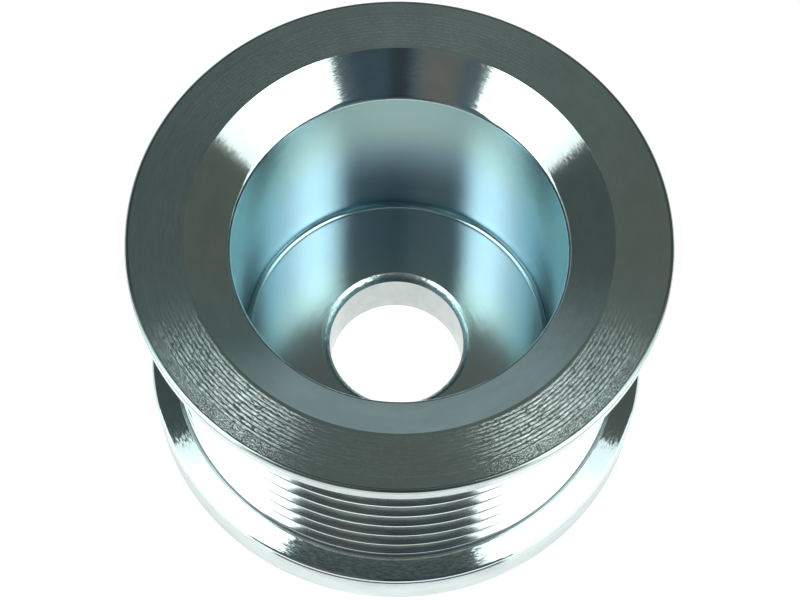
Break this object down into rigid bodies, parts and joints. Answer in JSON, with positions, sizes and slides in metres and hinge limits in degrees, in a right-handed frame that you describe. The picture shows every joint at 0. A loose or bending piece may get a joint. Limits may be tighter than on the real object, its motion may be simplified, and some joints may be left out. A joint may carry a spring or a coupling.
{
  "type": "alternator pulley",
  "caption": "One-piece turned steel alternator pulley: ribbed belt track between two flanges, deep nut recess with a dished mouth, plain shaft bore.",
  "frame": {"origin": "centre of the back face, which clamps against the alternator", "axes": "+Z along the bore, from the back face to the open front face; the part is round about it, so X and Y are free"},
  "size_m": [0.0627, 0.0626, 0.0388],
  "materials": {
    "zinc_plated_steel": "fine turned steel under bright zinc with a blue-clear passivation"
  },
  "bodies": {
    "root": {"pulley": "zinc_plated_steel"}
  },
  "joints": []
}
